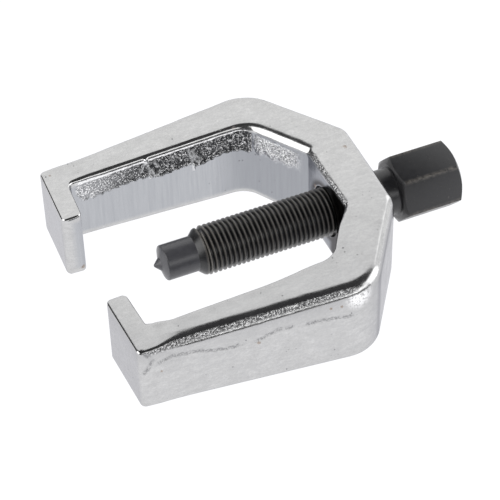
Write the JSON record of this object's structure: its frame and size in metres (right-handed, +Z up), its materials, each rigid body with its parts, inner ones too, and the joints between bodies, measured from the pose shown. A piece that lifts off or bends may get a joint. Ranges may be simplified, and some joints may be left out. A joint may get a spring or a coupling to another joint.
{
  "type": "ball joint separator",
  "caption": "Forged C-shaped puller with two inward lips and a hex-headed forcing screw that presses a tapered ball stud out of its arm.",
  "frame": {"origin": "centre of the whole tool's length and width, at the lowest point of the yoke as it lies on its side", "axes": "+X along the screw from the jaws to the hex head, +Y across the arms, +Z up through the thickness"},
  "size_m": [0.1573, 0.1218, 0.0398],
  "materials": {
    "yoke": "bright chrome plate over a hand-ground forging, with faint waves, pits and small rust spots",
    "forcing_screw": "black oxide on turned steel, satin, worn a little at the hex corners and thread crests",
    "screw_nose": "black oxide on turned steel, satin, with fine tool marks around it"
  },
  "bodies": {
    "yoke": {"yoke": "yoke"},
    "nose": {"screw_nose": "screw_nose"},
    "screw": {"forcing_screw": "forcing_screw"}
  },
  "joints": [
    {"name": "screw_advance", "type": "slide", "parent": "yoke", "child": "nose", "axis": [1, 0, 0], "range_m": [-0.004, 0.053]},
    {"name": "screw_turn", "type": "hinge", "parent": "nose", "child": "screw", "pos_m": [-0.0187, 0, 0.02], "axis": [1, 0, 0], "range_deg": [-723, 9543]}
  ],
  "couplings": [
    {"joint": "screw_turn", "follows": "screw_advance", "rad_per_m": 3141.6}
  ]
}
